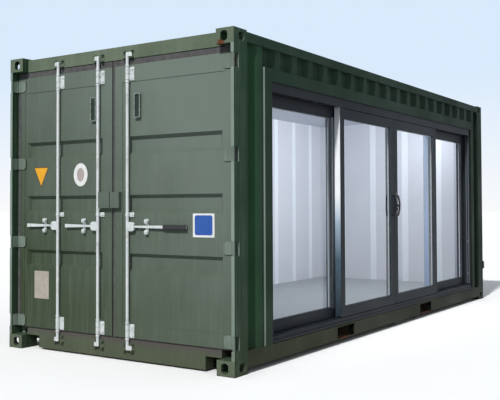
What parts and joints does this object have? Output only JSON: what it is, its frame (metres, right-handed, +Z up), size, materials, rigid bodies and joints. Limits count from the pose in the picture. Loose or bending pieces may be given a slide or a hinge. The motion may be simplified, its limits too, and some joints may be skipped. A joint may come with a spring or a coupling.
{
  "type": "shipping container cabin",
  "caption": "Twenty-foot steel container converted to a lined cabin, with swinging cargo doors at one end and sliding glazed panels in one long side.",
  "frame": {"origin": "middle of the footprint, on the ground under the corner castings", "axes": "+X along the container from the cargo doors to the closed end, -Y towards the glazed side, +Z up"},
  "size_m": [6.098, 2.462, 2.591],
  "materials": {
    "painted_steel": "dark green container paint",
    "base_steel": "dark green paint, dirty and slightly rusty",
    "galvanised_steel": "dull galvanised steel",
    "anthracite_aluminium": "anthracite powder coat, satin",
    "clear_glass": "clear double glazing",
    "black_rubber": "black rubber",
    "black_plastic": "black plastic",
    "white_lining": "white coated lining panels",
    "grey_floor": "floor boards with a grey covering"
  },
  "bodies": {
    "container": {"corner_castings": "painted_steel", "door_posts": "painted_steel", "end_posts": "painted_steel", "top_side_rails": "painted_steel", "bottom_side_rails": "base_steel", "fork_pockets": "base_steel", "cross_members": "base_steel", "door_header": "painted_steel", "door_sill": "base_steel", "end_rails": "painted_steel", "back_wall": "painted_steel", "front_wall_sides": "painted_steel", "front_wall_header": "painted_steel", "end_wall": "painted_steel", "roof_panel": "painted_steel", "floor_deck": "grey_floor", "back_lining": "white_lining", "end_lining": "white_lining", "ceiling_lining": "white_lining", "front_lining_sides": "white_lining", "front_lining_header": "white_lining", "joint_strips": "white_lining", "opening_jambs": "painted_steel", "opening_header": "painted_steel", "glazing_head": "anthracite_aluminium", "glazing_sill": "anthracite_aluminium", "glazing_jambs": "anthracite_aluminium", "fixed_panel_frames": "anthracite_aluminium", "fixed_panel_glass": "clear_glass", "cam_keepers": "painted_steel", "power_inlet": "black_plastic"},
    "right_door": {"right_door_frame": "painted_steel", "right_door_panel": "painted_steel", "right_door_gasket": "black_rubber", "right_door_hinges": "painted_steel", "right_door_fittings": "galvanised_steel", "right_door_boxes": "painted_steel"},
    "left_door": {"left_door_frame": "painted_steel", "left_door_panel": "painted_steel", "left_door_gasket": "black_rubber", "left_door_hinges": "painted_steel", "left_door_fittings": "galvanised_steel", "left_door_boxes": "painted_steel"},
    "right_rod": {"right_lock_rod": "galvanised_steel", "right_rod_cams": "galvanised_steel", "right_rod_handle": "galvanised_steel", "handle_grip": "black_rubber"},
    "left_inner_rod": {"left_inner_lock_rod": "galvanised_steel", "left_inner_rod_cams": "galvanised_steel", "left_inner_rod_handle": "galvanised_steel"},
    "left_outer_rod": {"left_outer_lock_rod": "galvanised_steel", "left_outer_rod_cams": "galvanised_steel", "left_outer_rod_handle": "galvanised_steel"},
    "left_panel": {"left_panel_frame": "anthracite_aluminium", "left_panel_glass": "clear_glass", "left_panel_pull": "anthracite_aluminium"},
    "right_panel": {"right_panel_frame": "anthracite_aluminium", "right_panel_glass": "clear_glass", "right_panel_pull": "anthracite_aluminium"}
  },
  "joints": [
    {"name": "right_door_hinge", "type": "hinge", "parent": "container", "child": "right_door", "pos_m": [-3.016, -1.206, 1.3], "axis": [0, 0, 1], "range_deg": [0, 270]},
    {"name": "left_door_hinge", "type": "hinge", "parent": "container", "child": "left_door", "pos_m": [-3.016, 1.206, 1.3], "axis": [0, 0, -1], "range_deg": [0, 270]},
    {"name": "right_rod_turn", "type": "hinge", "parent": "right_door", "child": "right_rod", "pos_m": [-2.9815, -0.14, 1.3], "axis": [0, 0, 1], "range_deg": [-110, 0]},
    {"name": "left_inner_rod_turn", "type": "hinge", "parent": "left_door", "child": "left_inner_rod", "pos_m": [-2.9815, 0.186, 1.3], "axis": [0, 0, -1], "range_deg": [-110, 0]},
    {"name": "left_outer_rod_turn", "type": "hinge", "parent": "left_door", "child": "left_outer_rod", "pos_m": [-2.9815, 0.658, 1.3], "axis": [0, 0, -1], "range_deg": [-110, 0]},
    {"name": "left_panel_slide", "type": "slide", "parent": "container", "child": "left_panel", "axis": [-1, 0, 0], "range_m": [0, 1.215]},
    {"name": "right_panel_slide", "type": "slide", "parent": "container", "child": "right_panel", "axis": [1, 0, 0], "range_m": [0, 1.215]}
  ]
}
